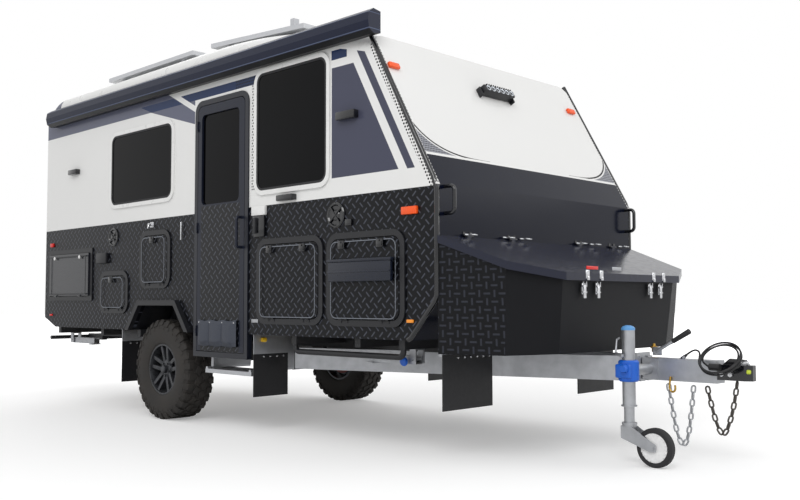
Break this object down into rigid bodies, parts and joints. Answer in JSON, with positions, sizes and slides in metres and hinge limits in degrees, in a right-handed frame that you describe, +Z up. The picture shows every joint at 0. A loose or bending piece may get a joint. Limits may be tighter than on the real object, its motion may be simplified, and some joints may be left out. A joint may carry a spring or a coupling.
{
  "type": "off-road camper trailer",
  "caption": "Single-axle hard-body camper trailer with A-frame drawbar, front storage box, side hatches, awning, roof solar panels and a trailing jockey wheel.",
  "frame": {"origin": "on the ground, midway between the spare wheel and the coupling, on the body's centre plane", "axes": "+X forward to the coupling, +Y to the trailer's left, +Z up"},
  "size_m": [6.816, 2.34, 2.987],
  "materials": {
    "white_panel": "gloss gelcoat",
    "floor_board": "sealed board",
    "black_sheet": "satin powder coat",
    "hatch_skin": "checker plate",
    "door_skin": "satin",
    "tinted_glass": "tinted acrylic",
    "awning_vinyl": "smooth vinyl",
    "tyre_rubber": "mud-terrain rubber",
    "painted_arm": "red-brown paint",
    "galvanised": "hot-dip galvanised",
    "box_sheet": "gloss black-blue",
    "step_aluminium": "checker tread",
    "tank_plastic": "moulded",
    "flap_rubber": "plain black rubber",
    "solar_glass": "dark cells",
    "wheel_plastic": "white nylon",
    "cable_rubber": "smooth sheath"
  },
  "bodies": {
    "body": {"arch_trims": "black_sheet", "awning": "awning_vinyl", "cable": "cable_rubber", "cable_coil": "cable_rubber", "cable_plug": "cable_rubber", "chassis_frame": "galvanised", "coupling": "black_sheet", "door_frame": "door_skin", "drawbar": "galvanised", "floor_panel": "floor_board", "front_box": "box_sheet", "front_fittings": "black_sheet", "front_upper_panel": "white_panel", "front_wall": "white_panel", "hatch_frames": "black_sheet", "jockey_bracket": "galvanised", "left_wall": "white_panel", "mud_flaps": "flap_rubber", "rear_bumper": "black_sheet", "rear_wall": "white_panel", "right_wall": "white_panel", "roof": "white_panel", "roof_vent": "black_sheet", "safety_chains": "galvanised", "side_rails": "black_sheet", "solar_panels": "solar_glass", "spare_rim": "black_sheet", "spare_tyre": "tyre_rubber", "springs_and_dampers": "painted_arm", "trailing_arms": "painted_arm", "underbody_brackets": "galvanised", "water_tank": "tank_plastic", "wheel_tubs": "black_sheet", "window_frames": "black_sheet", "windows": "tinted_glass"},
    "right_wheel": {"right_tyre": "tyre_rubber", "right_rim": "black_sheet"},
    "left_wheel": {"left_tyre": "tyre_rubber", "left_rim": "black_sheet"},
    "right_front_hatch": {"right_front_hatch": "hatch_skin"},
    "right_middle_hatch": {"right_middle_hatch": "hatch_skin"},
    "right_tall_hatch": {"right_tall_hatch": "hatch_skin"},
    "right_rear_hatch": {"right_rear_hatch": "hatch_skin"},
    "left_front_hatch": {"left_front_hatch": "hatch_skin"},
    "left_rear_hatch": {"left_rear_hatch": "hatch_skin"},
    "table": {"table_panel": "black_sheet"},
    "entry_door": {"entry_door": "door_skin", "door_glass": "tinted_glass"},
    "box_lid": {"box_lid": "box_sheet"},
    "vent_lid": {"vent_lid": "black_sheet"},
    "jockey_tube": {"jockey_tube": "galvanised"},
    "jockey_inner": {"jockey_inner": "galvanised"},
    "jockey_fork": {"jockey_fork": "galvanised"},
    "jockey_wheel": {"jockey_tyre": "tyre_rubber", "jockey_rim": "wheel_plastic"},
    "front_right_steady": {"front_right_steady": "galvanised"},
    "front_left_steady": {"front_left_steady": "galvanised"},
    "rear_right_steady": {"rear_right_steady": "galvanised"},
    "rear_left_steady": {"rear_left_steady": "galvanised"},
    "entry_step": {"entry_step": "step_aluminium"}
  },
  "joints": [
    {"name": "right_wheel_spin", "type": "hinge", "parent": "body", "child": "right_wheel", "pos_m": [-0.993, -0.9545, 0.402], "axis": [0, 1, 0], "continuous": true},
    {"name": "left_wheel_spin", "type": "hinge", "parent": "body", "child": "left_wheel", "pos_m": [-0.993, 0.9545, 0.402], "axis": [0, 1, 0], "continuous": true},
    {"name": "right_front_hatch_hinge", "type": "hinge", "parent": "body", "child": "right_front_hatch", "pos_m": [1.4115, -1.114, 0.8305], "axis": [1, 0, 0], "range_deg": [0, 90]},
    {"name": "right_middle_hatch_hinge", "type": "hinge", "parent": "body", "child": "right_middle_hatch", "pos_m": [0.6595, -1.114, 0.8305], "axis": [1, 0, 0], "range_deg": [0, 90]},
    {"name": "right_tall_hatch_hinge", "type": "hinge", "parent": "body", "child": "right_tall_hatch", "pos_m": [-1.0715, -1.114, 1.0985], "axis": [1, 0, 0], "range_deg": [0, 90]},
    {"name": "right_rear_hatch_hinge", "type": "hinge", "parent": "body", "child": "right_rear_hatch", "pos_m": [-1.737, -1.114, 0.8905], "axis": [1, 0, 0], "range_deg": [0, 90]},
    {"name": "left_front_hatch_hinge", "type": "hinge", "parent": "body", "child": "left_front_hatch", "pos_m": [1.4115, 1.114, 0.8305], "axis": [-1, 0, 0], "range_deg": [0, 90]},
    {"name": "left_rear_hatch_hinge", "type": "hinge", "parent": "body", "child": "left_rear_hatch", "pos_m": [-2.487, 1.114, 0.8905], "axis": [-1, 0, 0], "range_deg": [0, 90]},
    {"name": "table_hinge", "type": "hinge", "parent": "body", "child": "table", "pos_m": [-2.5565, -1.1263, 1.0005], "axis": [1, 0, 0], "range_deg": [0, 90]},
    {"name": "entry_door_hinge", "type": "hinge", "parent": "body", "child": "entry_door", "pos_m": [-0.4475, -1.114, 1.5], "axis": [0, 0, -1], "range_deg": [0, 100]},
    {"name": "box_lid_hinge", "type": "hinge", "parent": "body", "child": "box_lid", "pos_m": [2.032, 0, 1.3395], "axis": [0, -1, 0], "range_deg": [0, 70]},
    {"name": "roof_vent_hinge", "type": "hinge", "parent": "body", "child": "vent_lid", "pos_m": [-1.15, 0.4175, 2.972], "axis": [1, 0, 0], "range_deg": [0, 70]},
    {"name": "jockey_swing", "type": "hinge", "parent": "body", "child": "jockey_tube", "pos_m": [2.79, -0.285, 0.54], "axis": [0, -1, 0], "range_deg": [0, 90]},
    {"name": "jockey_slide", "type": "slide", "parent": "jockey_tube", "child": "jockey_inner", "axis": [0, 0, 1], "range_m": [-0.12, 0.085]},
    {"name": "jockey_swivel", "type": "hinge", "parent": "jockey_inner", "child": "jockey_fork", "pos_m": [2.79, -0.285, 0.235], "axis": [0, 0, 1], "continuous": true},
    {"name": "jockey_wheel_spin", "type": "hinge", "parent": "jockey_fork", "child": "jockey_wheel", "pos_m": [2.955, -0.285, 0.112], "axis": [0, 1, 0], "continuous": true},
    {"name": "front_right_steady_hinge", "type": "hinge", "parent": "body", "child": "front_right_steady", "pos_m": [1.657, -0.88, 0.586], "axis": [0, -1, 0], "range_deg": [0, 90]},
    {"name": "front_left_steady_hinge", "type": "hinge", "parent": "body", "child": "front_left_steady", "pos_m": [1.657, 0.88, 0.586], "axis": [0, -1, 0], "range_deg": [0, 90]},
    {"name": "rear_right_steady_hinge", "type": "hinge", "parent": "body", "child": "rear_right_steady", "pos_m": [-2.857, -0.88, 0.586], "axis": [0, 1, 0], "range_deg": [0, 90]},
    {"name": "rear_left_steady_hinge", "type": "hinge", "parent": "body", "child": "rear_left_steady", "pos_m": [-2.857, 0.88, 0.586], "axis": [0, 1, 0], "range_deg": [0, 90]},
    {"name": "entry_step_slide", "type": "slide", "parent": "body", "child": "entry_step", "axis": [0, -1, 0], "range_m": [0, 0.28]}
  ]
}
